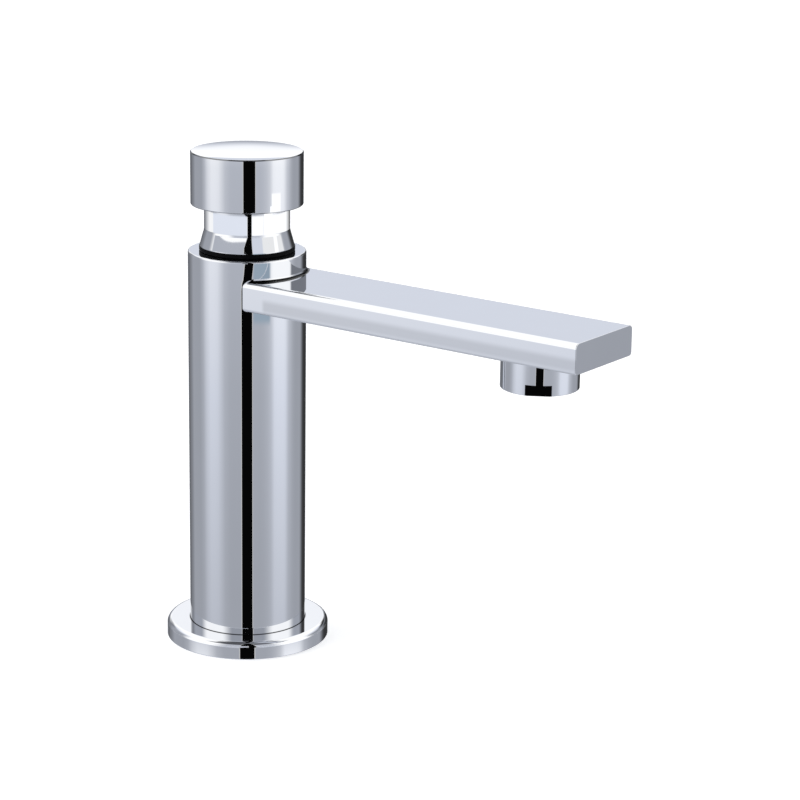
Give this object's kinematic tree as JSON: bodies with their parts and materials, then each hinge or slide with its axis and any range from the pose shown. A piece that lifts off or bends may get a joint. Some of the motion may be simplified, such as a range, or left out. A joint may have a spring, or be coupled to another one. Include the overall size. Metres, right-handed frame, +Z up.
{
  "type": "basin tap",
  "caption": "Self-closing push-button basin tap: a round column on a flange, a flat bar spout with an aerator, and a sprung button on a flared neck.",
  "frame": {"origin": "centre of the flange's underside, on the column's axis, where the tap stands on the basin", "axes": "+Z up along the column, +X from the column's axis along the spout, towards the aerator"},
  "size_m": [0.1784, 0.0588, 0.1792],
  "materials": {
    "chrome_trim": "bright polished plating",
    "raw_brass": "machined, not plated",
    "stainless": "drawn and machined",
    "black_rubber": "satin black",
    "white_plastic": "moulded acetal",
    "fibre_seal": "pressed fibre"
  },
  "bodies": {
    "tap": {"base_flange": "chrome_trim", "deck_gasket": "black_rubber", "base_plug": "raw_brass", "plug_seal": "black_rubber", "inlet_strainer": "stainless", "body_column": "chrome_trim", "spout": "chrome_trim", "aerator_housing": "chrome_trim", "aerator_gasket": "black_rubber", "aerator_screen": "white_plastic", "aerator_jet_plate": "white_plastic", "aerator_regulator": "white_plastic", "valve_seat": "raw_brass", "seat_gasket": "fibre_seal", "cartridge_sleeve": "raw_brass", "sleeve_seal": "black_rubber", "bonnet": "chrome_trim", "bonnet_ring": "black_rubber", "guide_bush": "white_plastic", "stem_gland": "raw_brass", "metering_pin": "stainless", "stem_seal": "black_rubber", "return_spring": "stainless"},
    "button": {"button_cap": "chrome_trim", "button_liner": "white_plastic", "stem": "stainless", "stem_locknut": "raw_brass", "piston": "raw_brass", "piston_cup_seal": "black_rubber", "piston_keeper": "stainless", "piston_circlip": "stainless", "valve_washer": "black_rubber", "valve_cup": "raw_brass", "washer_nut": "raw_brass"}
  },
  "joints": [
    {"name": "button_press", "type": "slide", "parent": "tap", "child": "button", "axis": [0, 0, -1], "range_m": [0, 0.008], "stiffness_N_per_m": 900, "springref_m": -0.012, "deforming": ["return_spring"]}
  ]
}
